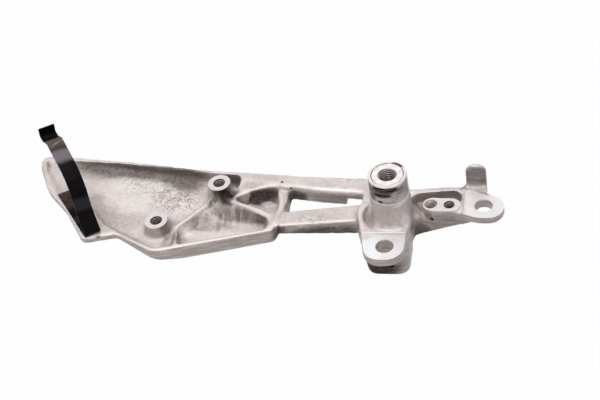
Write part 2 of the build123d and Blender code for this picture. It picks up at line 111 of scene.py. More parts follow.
# Rounded ribs on the heel plate, as paths of x and y, with the height of their middles and their radius
RIBS = (
    (
        (
            (-77.5, 31.0), (-77.0, 26.0), (-75.4, 21.0), (-74.6, 15.5),
            (-74.8, 9.0), (-75.6, 2.5), (-78.0, -4.0),
        ),
        -7.6, 2.3,
    ),
    (((-142.8, -2.5), (-133.9, 8.3), (-125.9, 18.1), (-125.0, 24.0)), -10.0, 1.6),
    (((-107.0, 20.0), (-102.3, 15.8), (-90.5, 11.0), (-78.0, 6.0)), -7.4, 1.8),
)

# Painted shade and grime on the casting: each patch's middle, its reach along x, y and z in millimetres, and
# how dark it is
SHADE_AND_GRIME = (
    ((-184, 49, -4), (56, 11, 12), 0.74),
    ((-148, 42, -8), (19, 10, 10), 0.74),
    ((-112.5, 21.5, -5), (9, 7.5, 7.5), 1.0),
    ((-116, 14, -10), (9, 7, 6), 0.55),
    ((-128, 5, -13), (12, 9, 4), 0.56),
    ((-112, 9, -12), (11, 8, 4), 0.66),
    ((-73, -6, -12), (5, 5, 6), 0.70),
    ((13, -7, -9), (2.2, 5, 6), 0.70),
    ((-116.3, 6, -14), (2.2, 9, 5), 0.45),
    ((-101, 8, -12), (3, 6, 5), 0.40),
    ((-109, 39, -7), (8, 5, 8), 0.66),
    ((-100, 10.0, -11), (11, 7, 4.2), 0.78),
    ((-96, 30.5, -5), (12, 3.5, 4), 0.30),
    ((-72.3, 21, -9), (1.8, 8, 6), 0.50),
    ((-88, 5.5, -10), (8, 5, 3.8), 0.78),
    ((-91, 27.8, -11), (13, 5, 7), 0.90),
    ((-95, 26.5, -14), (9, 3.5, 5), 0.95),
    ((-117.5, 22.8, -5), (6, 3.5, 5), 0.90),
    ((35, 22, 0), (14, 3, 2), 0.80),
    ((-77, 28, -12), (4, 8, 6), 0.80),
    ((-147, -9, -8), (3.5, 5, 8), 0.50),
    ((-141, -12, -12), (2.5, 7, 5), 0.50),
    ((-12, -18, -29), (16, 4, 9), 0.9),
    ((28, 19, -5), (24, 4.5, 6), 0.44),
    ((-46, 22, -11), (34, 6, 6), 0.30),
    ((-68, 27, -12), (9, 5, 6), 0.80),
    ((-40, -2, -16), (42, 4, 7), 0.72),
    ((24, 0, -11), (30, 6, 9), 0.32),
    ((15, 1, -14), (9, 6, 7), 0.70),
    ((52, 25, 12), (12, 4, 9), 0.38),
    ((52, 25, 6), (11, 4, 3.6), 0.50),
    ((51, 24.2, 2.2), (11, 1.8, 1.8), 0.22),
    ((-244.5, 36, 0), (4.5, 16, 6), 0.92),
    ((-203, 14, -5), (9, 9, 4), 0.32),
    ((-186, 4, -6), (32, 13, 5), 0.30),
    ((-122, 21, -11), (7, 6, 5), 0.45),
    ((-106, 20, -6), (5, 4, 6), 0.75),
    ((-17.5, 1, -2), (2.2, 8, 3), 0.55),
)

# Small stains, almost black, and painted black shadow in the notch on the block and under the right boss
STAINS_AND_SHADOWS = (
    ((-3.5, -18.2, -27.2), (4.0, 3.0, 1.5), 1.0),
    ((-73.6, -3.6, -10), (1.2, 2.0, 4.0), 0.6),
    ((23.8, 1.6, -5.4), (1.3, 1.3, 1.3), 0.85),
    ((-76.7, 33.1, -3.0), (0.9, 0.9, 0.9), 0.9),
    ((-70.2, 28.7, -4.3), (0.7, 0.7, 0.9), 0.7),
    ((-112.5, 21.5, -4.5), (5.5, 4.5, 5), 0.7),
    ((-190, -17.5, -4), (2.5, 2.5, 2), 0.6),
)

# Painted highlights on fillets, edges, ledges and floors, and patches that hands and boots keep clean and
# bright
HIGHLIGHTS_AND_CLEAN = (
    ((51.3, 20.6, 1.2), (12, 2.2, 1.6), 0.9),
    ((9.5, -8.5, 4.0), (3.2, 3.2, 4.6), 1.0),
    ((4.7, -13.8, 1.2), (3.4, 2.4, 2.2), 0.8),
    ((-3, -15.6, 0.5), (13, 3.0, 3), 0.8),
    ((-85.5, 23.8, -15.4), (4.8, 2.6, 1.6), 0.9),
    ((-150, -23, -5), (14, 4, 3), 0.6),
    ((-101, 24.5, -9), (2.6, 3, 4), 0.6),
    ((14, 3, -1), (3, 6, 4), 0.6),
    ((-115, -4, -15.5), (26, 3.5, 2), 0.45),
    ((-155, -11.5, -7), (5.5, 4, 7), 0.45),
    ((-178, 32, -6), (30, 7, 5), 0.8),
    ((-158, 19, -8), (34, 12, 6), 0.70),
    ((-60, 27, -5.6), (10, 2.4, 0.7), 0.8),
    ((9, -8.5, 18.4), (7, 5.5, 1.2), 1.0),
    ((-31, 34, -3), (1.6, 14, 4), 0.3),
    ((-30, 36, -3), (14, 8, 4), 0.5),
    ((-44, 25.2, -4.4), (22, 3, 1.8), 0.85),
    ((-9.5, -12, 2.5), (3.0, 2.6, 3.0), 0.7),
)

# Where a machined face fades into the skin beside it
MACHINED_EDGES = (
    ((-3, -16.4, 0), (18, 1.3, 3), 0.8),
    ((-16, -18.5, 0), (6, 3.6, 3), 0.85),
    ((14, -18.5, 0), (5, 3.6, 3), 0.85),
    ((42, 8, 0), (3, 20, 3), 0.7),
    ((56, 8, 0), (14, 14, 3), 0.30),
    ((30, 8, 1.3), (16, 7, 1.0), 0.75),
    ((-153.6, -4.3, -1.5), (12, 12, 3), 0.72),
    ((-118.7, 30.9, -1.5), (12, 12, 3), 0.72),
)

# Dark bands round the turned top, on the side that faces front
COLLAR_STAINS = (
    ((-1.5, -11.5, 31.2), (9.4, 4.5, 3.3), 1.0),
    ((-3.5, -11.0, 27.0), (6.6, 4.0, 1.7), 1.0),
    ((7.5, -9.0, 30.0), (4.5, 4.5, 1.0), 0.7),
    ((8.5, -8.0, 27.2), (4.0, 4.5, 0.9), 0.6),
    ((-4.4, -11.1, 21.6), (1.5, 2.0, 1.2), 0.9),
    ((-10.5, -6.0, 25.5), (4.5, 7.0, 7.0), 0.7),
    ((1.0, -11.8, 32.2), (8.0, 3.0, 0.8), 1.0),
)

# Where the skin is pitted, most of all in the middle of the recess
PITTED = (
    ((-149, 25, -9), (16, 14, 8), 1.0),
    ((-164, 34, -8), (34, 9, 8), 0.5),
    ((-150, 22, -9), (30, 22, 8), 0.2),
    ((-52, 4, -6.6), (9, 5, 3), 0.6),
    ((-30, 38, -3), (14, 5, 3), 0.5),
    ((57, 19, 0), (9, 4, 3), 0.4),
)

# The slopes beside the right boss, where the painted shade and grime are broken into streaks
STREAKED = ((-110, 6, -12), (28, 12, 5))

# Behind the recess, where the fillet's ridge is not kept bright, and its painted shade and grime stay
SHELTERED = ((-184, 44, -7), (70, 9, 6.5))

# Round the hub, whose walls have no drawn lines and no painted wall shade
HUB = ((-2, -2, 10), (20, 20, 26))

# Dirt in the joint ring: how far from the insert it spreads, and where it is packed at the back
JOINT_SPREAD = 0.6 * MM
JOINT_PLUG = ((5.6, 8.6, 34), (4.8, 2.6, 2.0))

# The way along the strap's upper part, and bands across it, in millimetres that way: where each begins and
# ends, and how soft its ends are
STRAP_ALONG = (-0.52, 0.77, 0.36)
# The first and the last band are painted sheen, the middle one is rubbed paint
PAINTED_SHEEN_BAND = (130.0, 139.4, 2.6)
RUBBED_BAND = (141.0, 150.0, 0.8)
FAINT_PAINTED_SHEEN_BAND = (101.5, 106.5, 1.5)

# The strap's scratch: the way across it, its place that way, half its width where it is full and where it has
# faded, and its spot in the rubbed band
SCRATCH_ACROSS = (0.80, -0.60, 0.0)
SCRATCH_PLACE = -186.0 * MM
SCRATCH_FULL = 0.15 * MM
SCRATCH_FADED = 0.5 * MM
SCRATCHED = ((-216, 22.1, 43.3), (6, 6, 6))

# A rusty spot at the foot of the strap
RUSTY = ((-219, 14, 1), (10, 10, 3.5))

# Hollows in level skin are darkened, with painted shade and grime, only below these heights, which are
# measured from the lug plane
HOLLOW_TOP = -0.5 * MM
HOLLOW_FOOT = -1.2 * MM

# Machined faces, as heights over the lug plane, and where the milled parts of the two lugs begin
LUG_FACE = 0.0
BOSS_FACE = -1.5 * MM
TWIN_FACE = 1.3 * MM
TURNED_FOOT = 19.5 * MM
PIVOT_TOP = 34.0 * MM
LUG_A_FACE_BACK = -17.0 * MM
LUG_A_FACE_LEFT = Vector((-16.6 * MM, -14.0 * MM, 0))
LUG_A_EDGE = Vector((24.7, 4.9, 0)).normalized()
LUG_B_FACE_LEFT = 43.0 * MM

# Each milling cutter, seen from above in millimetres: its corners beside the skin, its outer ones, the height
# of the face that it leaves, and how both kinds of corner rise from there to its top
UPRIGHT = Vector((0, 0, 3 * MM))
LEANING = Vector((0, 2.4 * MM, 1.6 * MM))
LOW = Vector((0, 0, 1.6 * MM))
CUTTERS = (
    (((16, -16), (-26, -16)), ((-26, -45), (16, -45)), LUG_FACE, LEANING, LOW),
    (((43, -8), (43, 23)), ((57.2, 17.6), (75, 17.6), (75, -8)), LUG_FACE, UPRIGHT, UPRIGHT),
    (((16, 0), (16, 16)), ((42.9, 16), (42.9, 0)), TWIN_FACE, UPRIGHT, UPRIGHT),
)
BOSS_CUTTER_R = 9 * MM
BOSS_CUTTER_H = 4 * MM
PIVOT_CUTTER_R = 16 * MM
PIVOT_CUTTER_RISE = 2 * MM
DRILL_RISE = 3 * MM

# Each drilled hole: its mount, its drill's radius, the face that it starts in, and its depth
DRILLED = (
    ("lug_a_hole", 5.25 * MM, LUG_FACE, 9 * MM),
    ("lug_b_hole", 5.25 * MM, LUG_FACE, 8 * MM),
    ("boss_l_hole", 3.65 * MM, BOSS_FACE, 20 * MM),
    ("boss_r_hole", 3.65 * MM, BOSS_FACE, 22 * MM),
    ("wire_insert_hole", 3.72 * MM, TWIN_FACE, 9.6 * MM),
    ("twin_screw_hole", 3.05 * MM, TWIN_FACE, 11 * MM),
)

# Each tapped hole's thread: its name, mount, face, minor radius, major radius, pitch and depth
TAPPED = (
    ("thread_boss_l", "boss_l_hole", BOSS_FACE, 3.0 * MM, 3.6 * MM, 1.25 * MM, 13 * MM),
    ("thread_boss_r", "boss_r_hole", BOSS_FACE, 3.0 * MM, 3.6 * MM, 1.25 * MM, 15 * MM),
    ("thread_twin", "twin_screw_hole", TWIN_FACE, 2.5 * MM, 3.0 * MM, 1.0 * MM, 11 * MM),
)

# How much painted shade darkens a thread from its mouth to its end
DEPTH_SHADE = 0.5

# The wire thread insert: how far under the face it starts, its inner and outer radius, its pitch and length
COIL_DROP = 0.6 * MM
COIL_MINOR_R = 3.0 * MM
COIL_MAJOR_R = 3.65 * MM
COIL_PITCH = 1.0 * MM
COIL_LENGTH = 9.0 * MM

# The pivot insert, its thread, the bevel at the thread's mouth, and where the thread's own material begins
INSERT_R = 9.7 * MM
INSERT_LENGTH = 20.0 * MM
PIVOT_MINOR_R = 4.9 * MM
PIVOT_MAJOR_R = 5.8 * MM
PIVOT_PITCH = 1.5 * MM
PIVOT_MOUTH = 0.3 * MM
THREAD_MARGIN = 0.1 * MM
THREAD_START = 0.5 * MM

# The turned top of the pivot boss, how far it goes down inside the skin, and the lip at its foot: how far the
# lip stands out, and the heights of its corners from the foot
TURNED_R = 11.9 * MM
COLLAR_ROOT = 5 * MM
LIP = 0.35 * MM
LIP_START = 0.5 * MM
LIP_TOP = 0.1 * MM
LIP_UNDER = -0.4 * MM
LIP_END = -0.6 * MM


# Mesh helpers

def new_object(name, data):
    made = bpy.data.objects.new(name, data)
    bpy.context.collection.objects.link(made)
    return made


def from_bmesh(name, shape):
    mesh = bpy.data.meshes.new(name)
    shape.normal_update()
    shape.to_mesh(mesh)
    shape.free()
    return new_object(name, mesh)


def apply_modifiers(obj):
    """Keep what the modifiers make as the object's own mesh."""
    depsgraph = bpy.context.evaluated_depsgraph_get()
    mesh = bpy.data.meshes.new_from_object(obj.evaluated_get(depsgraph))
    obj.modifiers.clear()
    obj.data = mesh


def discard(obj):
    bpy.data.objects.remove(obj)


def over_mount(name, height):
    """The point at this height on a hole's upright axis."""
    return Vector(mounts[name]["pos_m"]).xy.to_3d() + Vector((0, 0, height))


def band(shape, upper, lower, inward=False):
    """Join two rings of points by faces that look outward, or into the ring."""
    made = []
    for i in range(len(upper)):
        after = (i + 1) % len(upper)
        corners = (upper[i], lower[i], lower[after], upper[after])
        made.append(shape.faces.new(corners[::-1] if inward else corners))
    return made


def lathe(shape, profile, place, segments=TURNED_FACETS):
    """Add an open wall of revolution to a bmesh: a profile of radius and height, each row a ring."""
    rings = []
    for radius, height in profile:
        ring = []
        for i in range(segments):
            turn = 2 * pi * i / segments
            ring.append(shape.verts.new(place + Vector((radius * cos(turn), radius * sin(turn), height))))
        rings.append(ring)
    for upper, lower in zip(rings, rings[1:]):
        band(shape, upper, lower)
    return rings


def capped_lathe(shape, profile, place):
    """Add a solid of revolution, with its profile from the top to the foot."""
    rings = lathe(shape, profile, place)
    shape.faces.new(rings[0])
    shape.faces.new(reversed(rings[-1]))


def rod(shape, points, radius, segments=12):
    """Add a round rod, smaller at its ends, along a flat path of points."""
    rings = []
    for i, point in enumerate(points):
        along = (points[min(i + 1, len(points) - 1)] - points[max(i - 1, 0)]).normalized()
        side = along.cross(Vector((0, 0, 1)))
        size = radius * (RIB_END if i in (0, len(points) - 1) else 1.0)
        ring = []
        for k in range(segments):
            turn = 2 * pi * k / segments
            ring.append(shape.verts.new(point + size * (side * cos(turn) + Vector((0, 0, sin(turn))))))
        rings.append(ring)
    made = [shape.faces.new(rings[0]), shape.faces.new(rings[-1])]
    for first, second in zip(rings, rings[1:]):
        made += band(shape, first, second)
    bmesh.ops.recalc_face_normals(shape, faces=made)


def prism(shape, low, high):
    """Add a solid between two outlines with as many corners."""
    upper = [shape.verts.new(point) for point in high]
    lower = [shape.verts.new(point) for point in low]
    made = [shape.faces.new(upper), shape.faces.new(list(reversed(lower)))]
    made += band(shape, upper, lower)
    bmesh.ops.recalc_face_normals(shape, faces=made)


def level_faces(shape, height):
    """The level faces of the solid at this height."""
    return [
        face for face in shape.faces
        if face.normal.z > LEVEL and abs(face.calc_center_median().z - height) < AT_HEIGHT
    ]


def raise_faces(shape, height, wanted=lambda centre: True):
    """Lift the level faces at this height by PROUD, so that rounding the skin leaves their rims full."""
    faces = [face for face in level_faces(shape, height) if wanted(face.calc_center_median())]
    made = bmesh.ops.extrude_face_region(shape, geom=faces)
    verts = [item for item in made["geom"] if isinstance(item, bmesh.types.BMVert)]
    bmesh.ops.translate(shape, verts=verts, vec=(0, 0, PROUD))


def divide_faces(shape, height, place, normal):
    """Divide the level faces at this height along a plane."""
    faces = level_faces(shape, height)
    edges = {edge for face in faces for edge in face.edges}
    verts = {vert for face in faces for vert in face.verts}
    geometry = list(verts) + list(edges) + faces
    bmesh.ops.bisect_plane(shape, geom=geometry, plane_co=place, plane_no=normal, dist=MERGE)


def cut_away(obj, tool):
    """Cut a tool out of an object, and discard the tool."""
    cut = obj.modifiers.new("cut", "BOOLEAN")
    cut.operation = "DIFFERENCE"
    cut.solver = "MANIFOLD"
    cut.object = tool
    apply_modifiers(obj)
    discard(tool)


def relaxed(obj, fills, rounds):
    """Fill the inner corners of a mesh to fillets, then round all its corners a little."""
    mesh = obj.data
    count = len(mesh.vertices)
    points = np.empty(count * 3)
    mesh.vertices.foreach_get("co", points)
    points = points.reshape(count, 3)
    links = np.empty(len(mesh.edges) * 2, dtype=np.int64)
    mesh.edges.foreach_get("vertices", links)
    first, second = links.reshape(-1, 2).T
    valence = np.bincount(first, minlength=count) + np.bincount(second, minlength=count)
    for step in range(fills + rounds):
        pull = np.empty_like(points)
        for axis in range(3):
            total = np.bincount(first, weights=points[second, axis], minlength=count)
            total += np.bincount(second, weights=points[first, axis], minlength=count)
            pull[:, axis] = total / valence - points[:, axis]
        if step < fills:
            mesh.vertices.foreach_set("co", points.ravel())
            mesh.update()
            normals = np.empty(count * 3)
            mesh.vertices.foreach_get("normal", normals)
            outward = (pull * normals.reshape(count, 3)).sum(axis=1)
            pull[outward < 0] = 0
        points += SMOOTHING * pull
    mesh.vertices.foreach_set("co", points.ravel())
    mesh.update()


def skin_marks(obj):
    """The skin's points, and how deep each lies in a hollow, or below 0 how proud it is on a ridge."""
    mesh = obj.data
    before = [vert.co.copy() for vert in mesh.vertices]
    normals = [vert.normal.copy() for vert in mesh.vertices]
    blurred = obj.copy()
    blurred.data = mesh.copy()
    relaxed(blurred, 0, MARK_BLUR)
    depths = [
        (vert.co - co).dot(normal)
        for vert, co, normal in zip(blurred.data.vertices, before, normals)
    ]
    discard(blurred)
    return before, depths


def keep_marks(obj, marks):
    """Store hollows and ridges on the cut casting, each point after the nearest one of the uncut skin."""
    points, depths = marks
    tree = KDTree(len(points))
    for i, point in enumerate(points):
        tree.insert(point, i)
    tree.balance()
    hollow = obj.data.attributes.new("hollow", "FLOAT", "POINT")
    ridge = obj.data.attributes.new("ridge", "FLOAT", "POINT")
    for i, vert in enumerate(obj.data.vertices):
        depth = depths[tree.find(vert.co)[1]]
        hollow.data[i].value = min(max(depth / FULL_MARK, 0.0), 1.0)
        ridge.data[i].value = min(max(-depth / FULL_MARK, 0.0), 1.0)


def mark_sharp(obj, angle):
    """Round shading, but crisp where the facets turn by more than this angle."""
    shape = bmesh.new()
    shape.from_mesh(obj.data)
    for face in shape.faces:
        face.smooth = True
    for edge in shape.edges:
        edge.smooth = edge.is_manifold and edge.calc_face_angle() < angle
    shape.to_mesh(obj.data)
    shape.free()


# Pieces

def on_lug_face(centre):
    """Whether a point of the lug plane is on the part of it that is milled."""
    on_a = centre.y < LUG_A_FACE_BACK and (centre - LUG_A_FACE_LEFT).dot(LUG_A_EDGE) > 0
    return on_a or centre.x > LUG_B_FACE_LEFT


def hanger_casting():
    """The casting with the soft skin of a sand casting, its machined faces proud and its holes plugged."""
    shape = bmesh.new()
    shape.from_mesh(nodes["hanger"].data)
    bmesh.ops.remove_doubles(shape, verts=shape.verts, dist=MERGE)
    divide_faces(shape, LUG_FACE, (0, LUG_A_FACE_BACK, 0), (0, 1, 0))
    divide_faces(shape, LUG_FACE, LUG_A_FACE_LEFT, LUG_A_EDGE)
    divide_faces(shape, LUG_FACE, (LUG_B_FACE_LEFT, 0, 0), (1, 0, 0))
    shape.normal_update()
    raise_faces(shape, LUG_FACE, on_lug_face)
    raise_faces(shape, BOSS_FACE)
    raise_faces(shape, TWIN_FACE)
    for name, *_ in DRILLED:
        mount = mounts[name]
        radius = mount["dims"]["r_mm"] * MM + HOLE_MARGIN
        length = mount["dims"]["length_mm"] * MM + HOLE_MARGIN
        capped_lathe(shape, [(radius, PROUD), (radius, -length)], Vector(mount["pos_m"]))
    for path, height, radius in RIBS:
        rod(shape, [Vector((x, y, height)) * MM for x, y in path], radius * MM)
    casting = from_bmesh("hanger_casting", shape)
    remesh = casting.modifiers.new("skin", "REMESH")
    remesh.mode = "VOXEL"
    remesh.voxel_size = SKIN_FACET
    apply_modifiers(casting)
    relaxed(casting, CORNER_FILLS, SKIN_ROUNDS)
    return casting


def facing_tools():
    """What the cutters remove: the space over each machined face, and the top that the collar replaces."""
    shape = bmesh.new()
    for inner, outer, height, inner_rise, outer_rise in CUTTERS:
        low = [Vector((x * MM, y * MM, height)) for x, y in inner + outer]
        rises = [inner_rise] * len(inner) + [outer_rise] * len(outer)
        prism(shape, low, [point + rise for point, rise in zip(low, rises)])
    for name in ("boss_l_hole", "boss_r_hole"):
        profile = [(BOSS_CUTTER_R, BOSS_CUTTER_H), (BOSS_CUTTER_R, 0)]
        capped_lathe(shape, profile, over_mount(name, BOSS_FACE))
    profile = [(PIVOT_CUTTER_R, PIVOT_TOP + PIVOT_CUTTER_RISE), (PIVOT_CUTTER_R, TURNED_FOOT)]
    capped_lathe(shape, profile, Vector((0, 0, 0)))
    return from_bmesh("facing_tools", shape)


def drills():
    """What the drills remove, with the countersinks at the mouths."""
    shape = bmesh.new()
    for name, radius, face, reach in DRILLED:
        mouth = radius + COUNTERSINK
        profile = [(mouth, DRILL_RISE), (mouth, 0), (radius, -COUNTERSINK), (radius, -reach)]
        capped_lathe(shape, profile, over_mount(name, face))
    return from_bmesh("drills", shape)


def thread(shape, place, minor, major, pitch, depth, mouth=0.0, rounded=False, segments=40, per_turn=8):
    """Add an internal thread to a bmesh as one helical wall, from the mouth at place down to the depth."""
    rows = ceil(depth / pitch * per_turn)
    root = shape.verts.layers.float.new("root")
    rings = []
    for row in range(rows + 1):
        height = -depth * row / rows
        ring = []
        for i in range(segments):
            turn = i / segments
            phase = (height / pitch + turn) % 1.0
            wave = 0.5 - 0.5 * cos(2 * pi * phase) if rounded else abs(2 * phase - 1)
            radius = max(minor + (major - minor) * wave, minor + mouth + height)
            angle = 2 * pi * turn
            vert = shape.verts.new(place + Vector((radius * cos(angle), radius * sin(angle), height)))
            # The painted shade on the thread: dark in its root, and darker the deeper it lies
            vert[root] = (radius - minor) / (major - minor) - DEPTH_SHADE * height / depth
            ring.append(vert)
        rings.append(ring)
    for upper, lower in zip(rings, rings[1:]):
        band(shape, upper, lower, inward=True)
    return rings[0]


def threaded_hole(name, mount, face, minor, major, pitch, depth):
    shape = bmesh.new()
    mouth = major - minor + COUNTERSINK / 2
    thread(shape, over_mount(mount, face), minor, major, pitch, depth, mouth)
    return from_bmesh(name, shape)


def pivot_insert():
    """The steel insert: a turned ring with a thread down its bore."""
    shape = bmesh.new()
    place = Vector((0, 0, PIVOT_TOP))
    bevel = PIVOT_MAJOR_R - PIVOT_MINOR_R + PIVOT_MOUTH
    mouth = thread(
        shape, place, PIVOT_MINOR_R, PIVOT_MAJOR_R, PIVOT_PITCH, INSERT_LENGTH, bevel,
        segments=TURNED_FACETS,
    )
    profile = [(INSERT_R - SEAM, 0), (INSERT_R, -SEAM), (INSERT_R, -INSERT_LENGTH)]
    rings = lathe(shape, profile, place)
    band(shape, mouth, rings[0])
    return from_bmesh("pivot_insert_threaded", shape)


def pivot_collar():
    """The turned top of the pivot boss, round the insert."""
    shape = bmesh.new()
    profile = [
        (TURNED_R - EDGE_BREAK, TURNED_FOOT + LIP_END),
        (TURNED_R + LIP, TURNED_FOOT + LIP_UNDER),
        (TURNED_R + LIP, TURNED_FOOT + LIP_TOP),
        (TURNED_R, TURNED_FOOT + LIP_START),
        (TURNED_R, PIVOT_TOP - EDGE_BREAK),
        (TURNED_R - EDGE_BREAK, PIVOT_TOP),
        (INSERT_R + SEAM, PIVOT_TOP),
        (INSERT_R + INSERT_CLEARANCE, PIVOT_TOP - SEAM),
        (INSERT_R + INSERT_CLEARANCE, TURNED_FOOT - COLLAR_ROOT),
    ]
    lathe(shape, profile, Vector((0, 0, 0)), COLLAR_FACETS)
    bmesh.ops.reverse_faces(shape, faces=shape.faces)
    return from_bmesh("pivot_collar", shape)


def wire_coil():
    """The wire thread insert: a coil of wire, seen as its rounded turns."""
    shape = bmesh.new()
    place = over_mount("wire_insert_hole", TWIN_FACE - COIL_DROP)
    thread(shape, place, COIL_MINOR_R, COIL_MAJOR_R, COIL_PITCH, COIL_LENGTH, rounded=True, per_turn=10)
    return from_bmesh("wire_coil", shape)


def ease_edges(obj):
    """Break the sheared edges of the strap."""
    joined = obj.modifiers.new("joined", "WELD")
    joined.merge_threshold = MERGE
    eased = obj.modifiers.new("eased", "BEVEL")
    eased.width = STRAP_EDGE
    eased.segments = 2
    eased.limit_method = "ANGLE"
    eased.angle_limit = CRISP_STRAP
    eased.harden_normals = True


# Node helpers

class Tree:
    """A material's or world's node tree, with short calls to add and link nodes."""

    # A Mix node's sockets for colours
    MIX_FIRST = 6
    MIX_SECOND = 7
    MIX_RESULT = 2

    def __init__(self, owner):
        owner.use_nodes = True
        self.tree = owner.node_tree
        self.tree.nodes.clear()

    def add(self, kind, **settings):
        made = self.tree.nodes.new("ShaderNode" + kind)
        for name, value in settings.items():
            setattr(made, name, value)
        return made

    def feed(self, socket, value):
        """Link a socket to another one, or set its value."""
        if isinstance(value, bpy.types.NodeSocket):
            self.tree.links.new(value, socket)
        else:
            socket.default_value = value

    def end(self, shader, kind="OutputMaterial"):
        """Make a shader the tree's output."""
        self.feed(self.add(kind).inputs[0], shader.outputs[0])

    def surface(self, **inputs):
        """End in a principled surface. Its sockets are called by their names, with _ for each space."""
        shader = self.add("BsdfPrincipled")
        for name, value in inputs.items():
            self.feed(shader.inputs[name.replace("_", " ")], value)
        self.end(shader)

    def math(self, operation, *values):
        made = self.add("Math", operation=operation)
        for socket, value in zip(made.inputs, values):
            self.feed(socket, value)
        return made.outputs[0]

    def times(self, first, second):
        return self.math("MULTIPLY", first, second)

    def most(self, first, second):
        return self.math("MAXIMUM", first, second)

    def rest(self, value):
        """What is left of 1."""
        return self.math("SUBTRACT", 1.0, value)

    def vector(self, operation, *values):
        made = self.add("VectorMath", operation=operation)
        for socket, value in zip(made.inputs, values):
            self.feed(socket, value)
        return made.outputs["Value" if operation in ("LENGTH", "DOT_PRODUCT") else "Vector"]

    def height(self, vector):
        """The Z part of a vector."""
        split = self.add("SeparateXYZ")
        self.feed(split.inputs[0], vector)
        return split.outputs["Z"]

    def facing_up(self):
        """1 where the surface faces up, 0 where it is upright."""
        return self.height(self.add("NewGeometry").outputs["Normal"])

    def mark(self, name):
        """A mark that is stored on the mesh."""
        return self.add("Attribute", attribute_name=name).outputs["Fac"]

    def ramp(self, value, low, high, to_low=0.0, to_high=1.0):
        """Map a value smoothly from low..high to to_low..to_high."""
        made = self.add("MapRange", interpolation_type="SMOOTHSTEP")
        for socket, given in zip(made.inputs, (value, low, high, to_low, to_high)):
            self.feed(socket, given)
        return made.outputs[0]

    def fall(self, value, low, high, top=1.0):
        """The top amount up to the low value, and from there smoothly down to 0 at the high one."""
        return self.ramp(value, low, high, top, 0.0)

    def mix(self, factor, first, second):
        made = self.add("Mix", data_type="RGBA", clamp_factor=True)
        self.feed(made.inputs[0], factor)
        self.feed(made.inputs[self.MIX_FIRST], first)
        self.feed(made.inputs[self.MIX_SECOND], second)
        return made.outputs[self.MIX_RESULT]

    def stretched(self, place, stretch, turn=(0, 0, 0)):
        mapped = self.add("Mapping")
        self.feed(mapped.inputs["Vector"], place)
        self.feed(mapped.inputs["Rotation"], [radians(angle) for angle in turn])
        self.feed(mapped.inputs["Scale"], stretch)
        return mapped.outputs[0]

    def noise(self, place, scale, detail=4.0, rough=0.55, output="Fac"):
        made = self.add("TexNoise")
        self.feed(made.inputs["Vector"], place)
        self.feed(made.inputs["Scale"], scale)
        self.feed(made.inputs["Detail"], detail)
        self.feed(made.inputs["Roughness"], rough)
        return made.outputs[output]

    def near(self, place, centre, reach, soft=0.5):
        """A soft spot: 1 within reach of the centre, in millimetres, and 0 beyond a softer rim."""
        gap = self.vector("SUBTRACT", place, [value * MM for value in centre])
        scaled = self.vector("MULTIPLY", gap, [1 / (value * MM) for value in reach])
        return self.fall(self.vector("LENGTH", scaled), 1.0 - soft, 1.0 + soft)

    def wavered(self, place, scale, amount):
        """The place pushed about by up to this many millimetres, so that patches get ragged rims."""
        push = self.noise(place, scale, 3.0, 0.5, "Color")
        shift = self.vector("SUBTRACT", place, [amount * MM] * 3)
        return self.vector("MULTIPLY_ADD", push, [2 * amount * MM] * 3, shift)

    def patches(self, place, table, soft=0.45):
        """The strongest of several soft spots: each one's centre, reach and amount."""
        strongest = None
        for centre, reach, amount in table:
            spot = self.times(self.near(place, centre, reach, soft), amount)
            strongest = self.most(strongest, spot) if strongest else spot
        return strongest

    def specks(self, place, scale, size, soft=0.4):
        """Round specks: 1 at their middle."""
        made = self.add("TexVoronoi")
        self.feed(made.inputs["Vector"], place)
        self.feed(made.inputs["Scale"], scale)
        return self.fall(made.outputs["Distance"], size * (1 - soft), size * (1 + soft))

    def bump(self, height, strength, distance):
        made = self.add("Bump")
        self.feed(made.inputs["Strength"], strength)
        self.feed(made.inputs["Distance"], distance)
        self.feed(made.inputs["Height"], height)
        return made.outputs[0]

    def dulled(self, dirt, clean, dirty):
        """A surface setting that goes from its clean value to its dirty one."""
        return self.ramp(dirt, 0.1, 0.8, clean, dirty)

    def clouded(self, cloud, low, high):
        """A roughness that changes a little from place to place."""
        return self.ramp(cloud, 0.3, 0.7, low, high)


# Colours

def colour(red, green, blue):
    return (red, green, blue, 1.0)


CAST_GREY = colour(0.66, 0.585, 0.565)
CAST_PALE = colour(0.80, 0.73, 0.71)
CAST_MOTTLE = colour(0.38, 0.32, 0.30)
# Drawn mould lines and painted shade on the walls
WALL_LINES_AND_SHADE = colour(0.30, 0.245, 0.225)
# Ridge lightening: painted highlight and worn edges
RIDGE_HIGHLIGHT_AND_WEAR = colour(0.84, 0.77, 0.755)
# Painted highlights and clean patches
HIGHLIGHT_AND_CLEAN_PALE = colour(0.93, 0.87, 0.86)
# The brown of the painted shade and grime
SHADE_AND_GRIME_BROWN = colour(0.055, 0.038, 0.032)
PITTED_SKIN = colour(0.25, 0.19, 0.165)
PIT_DIRT = colour(0.07, 0.048, 0.04)
# Stains, and painted black shadow
STAIN_AND_SHADOW_BLACK = colour(0.012, 0.009, 0.008)

MACHINED_PALE = colour(0.97, 0.95, 0.98)
MACHINED_GREY = colour(0.87, 0.83, 0.84)
MACHINED_FADED = colour(0.72, 0.655, 0.64)

# The turned side, painted darker than its top as shade
COLLAR_DARK = colour(0.42, 0.365, 0.35)
COLLAR_PALE = colour(0.66, 0.60, 0.58)
COLLAR_STAIN = colour(0.035, 0.026, 0.024)
COLLAR_TOP_PALE = colour(0.96, 0.89, 0.88)
COLLAR_TOP_GREY = colour(0.84, 0.765, 0.75)
JOINT_DIRT = colour(0.06, 0.045, 0.04)

STEEL_GREY = colour(0.82, 0.76, 0.75)
STEEL_PALE = colour(0.93, 0.88, 0.87)
